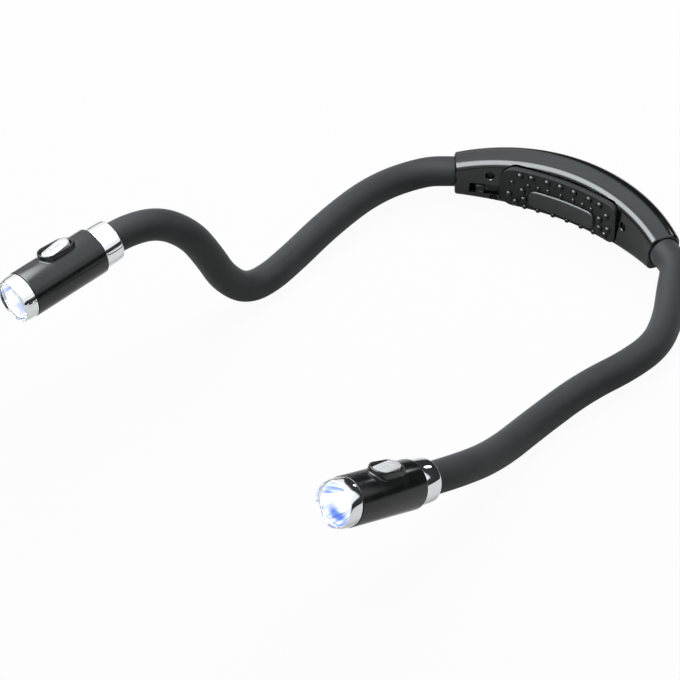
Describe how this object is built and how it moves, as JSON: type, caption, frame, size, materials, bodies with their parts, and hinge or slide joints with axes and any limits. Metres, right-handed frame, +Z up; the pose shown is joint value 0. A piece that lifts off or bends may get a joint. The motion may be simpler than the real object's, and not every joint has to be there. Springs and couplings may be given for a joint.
{
  "type": "neck reading light",
  "caption": "U-shaped hands-free reading light: curved battery handle behind the neck, and bendable rubber-sleeved arms ending in chrome-trimmed lamp heads with rocker switches.",
  "frame": {"origin": "middle of the flat underside of the battery handle, on the surface the light lies on", "axes": "+X from the left arm to the right arm, +Y from the lamp heads towards the back of the handle, +Z up from the surface"},
  "size_m": [0.2665, 0.3462, 0.0858],
  "materials": {
    "gloss_black": "polished black plastic, clear sharp reflections",
    "satin_black": "satin black plastic",
    "sleeve_rubber": "matte dark grey rubber sleeve, soft sheen",
    "chrome": "mirror chrome",
    "switch_silver": "bright satin silver",
    "steel": "plain bright steel",
    "lens_clear": "clear lens",
    "led_white": "clear dome of a white light-emitting diode",
    "board_green": "green circuit board",
    "cell_jacket": "plain film jacket, no print",
    "wire_red": "insulated lead"
  },
  "bodies": {
    "handle": {"inner_shell": "gloss_black", "outer_shell": "gloss_black", "shell_screw_1": "steel", "shell_screw_2": "steel", "shell_screw_3": "steel", "battery_cell_lower": "cell_jacket", "battery_cell_upper": "cell_jacket", "series_contact": "steel", "positive_terminal": "steel", "negative_terminal": "steel", "battery_leads": "wire_red", "left_arm_collar": "steel", "left_sleeve_1": "sleeve_rubber", "left_core_1": "steel", "right_arm_collar": "steel", "right_sleeve_1": "sleeve_rubber", "right_core_1": "steel"},
    "door": {"battery_door": "satin_black", "door_label_plate": "satin_black"},
    "latch": {"door_latch": "satin_black"},
    "left_arm_2": {"left_sleeve_2": "sleeve_rubber", "left_core_2": "steel"},
    "left_arm_3": {"left_sleeve_3": "sleeve_rubber", "left_core_3": "steel"},
    "left_arm_4": {"left_sleeve_4": "sleeve_rubber", "left_core_4": "steel"},
    "left_lamp": {"left_sleeve_5": "sleeve_rubber", "left_core_5": "steel", "left_ferrule": "chrome", "left_barrel": "gloss_black", "left_switch_body": "satin_black", "left_circuit_board": "board_green", "left_head_leads": "wire_red", "left_led_board": "board_green", "left_led": "led_white", "left_reflector": "chrome", "left_lens": "lens_clear", "left_bezel_ring": "chrome"},
    "left_button": {"left_switch_button": "switch_silver"},
    "right_arm_2": {"right_sleeve_2": "sleeve_rubber", "right_core_2": "steel"},
    "right_arm_3": {"right_sleeve_3": "sleeve_rubber", "right_core_3": "steel"},
    "right_arm_4": {"right_sleeve_4": "sleeve_rubber", "right_core_4": "steel"},
    "right_lamp": {"right_sleeve_5": "sleeve_rubber", "right_core_5": "steel", "right_ferrule": "chrome", "right_barrel": "gloss_black", "right_switch_body": "satin_black", "right_circuit_board": "board_green", "right_head_leads": "wire_red", "right_led_board": "board_green", "right_led": "led_white", "right_reflector": "chrome", "right_lens": "lens_clear", "right_bezel_ring": "chrome"},
    "right_button": {"right_switch_button": "switch_silver"}
  },
  "joints": [
    {"name": "door_hinge", "type": "hinge", "parent": "handle", "child": "door", "pos_m": [0.0343, -0.0161, 0.013], "axis": [0, 0, 1], "range_deg": [0, 60]},
    {"name": "latch_slide", "type": "slide", "parent": "handle", "child": "latch", "axis": [-0.899, -0.4379, 0], "range_m": [0, 0.0025]},
    {"name": "left_bend_1", "type": "hinge", "parent": "handle", "child": "left_arm_2", "pos_m": [-0.09321, -0.06366, 0.0125], "axis": [0.0044, 0.0258, 0.9997], "range_deg": [-30, 30]},
    {"name": "left_bend_2", "type": "hinge", "parent": "left_arm_2", "child": "left_arm_3", "pos_m": [-0.09773, -0.13031, 0.00882], "axis": [-0.9998, 0.0174, 0], "range_deg": [-30, 30]},
    {"name": "left_bend_3", "type": "hinge", "parent": "left_arm_3", "child": "left_arm_4", "pos_m": [-0.10784, -0.18542, 0.03218], "axis": [0.2703, 0.8572, 0.4384], "range_deg": [-30, 30]},
    {"name": "left_bend_4", "type": "hinge", "parent": "left_arm_4", "child": "left_lamp", "pos_m": [-0.12658, -0.22268, 0.07339], "axis": [-0.91, 0.4147, 0], "range_deg": [-30, 30]},
    {"name": "left_rocker", "type": "hinge", "parent": "left_lamp", "child": "left_button", "pos_m": [-0.142, -0.27164, 0.07998], "axis": [-0.9534, 0.2475, -0.1727], "range_deg": [0, 14]},
    {"name": "right_bend_1", "type": "hinge", "parent": "handle", "child": "right_arm_2", "pos_m": [0.09359, -0.06438, 0.00941], "axis": [0.009, -0.0246, 0.9997], "range_deg": [-30, 30]},
    {"name": "right_bend_2", "type": "hinge", "parent": "right_arm_2", "child": "right_arm_3", "pos_m": [0.09, -0.1293, 0.00856], "axis": [-0.9584, 0.2853, 0], "range_deg": [-30, 30]},
    {"name": "right_bend_3", "type": "hinge", "parent": "right_arm_3", "child": "right_arm_4", "pos_m": [0.08122, -0.19533, 0.01171], "axis": [0, 0.1564, 0.9877], "range_deg": [-30, 30]},
    {"name": "right_bend_4", "type": "hinge", "parent": "right_arm_4", "child": "right_lamp", "pos_m": [0.07918, -0.25379, 0.03048], "axis": [-0.9917, 0.1282, 0], "range_deg": [-30, 30]},
    {"name": "right_rocker", "type": "hinge", "parent": "right_lamp", "child": "right_button", "pos_m": [0.07036, -0.2972, 0.05681], "axis": [-0.9763, 0.2164, 0], "range_deg": [0, 14]}
  ]
}
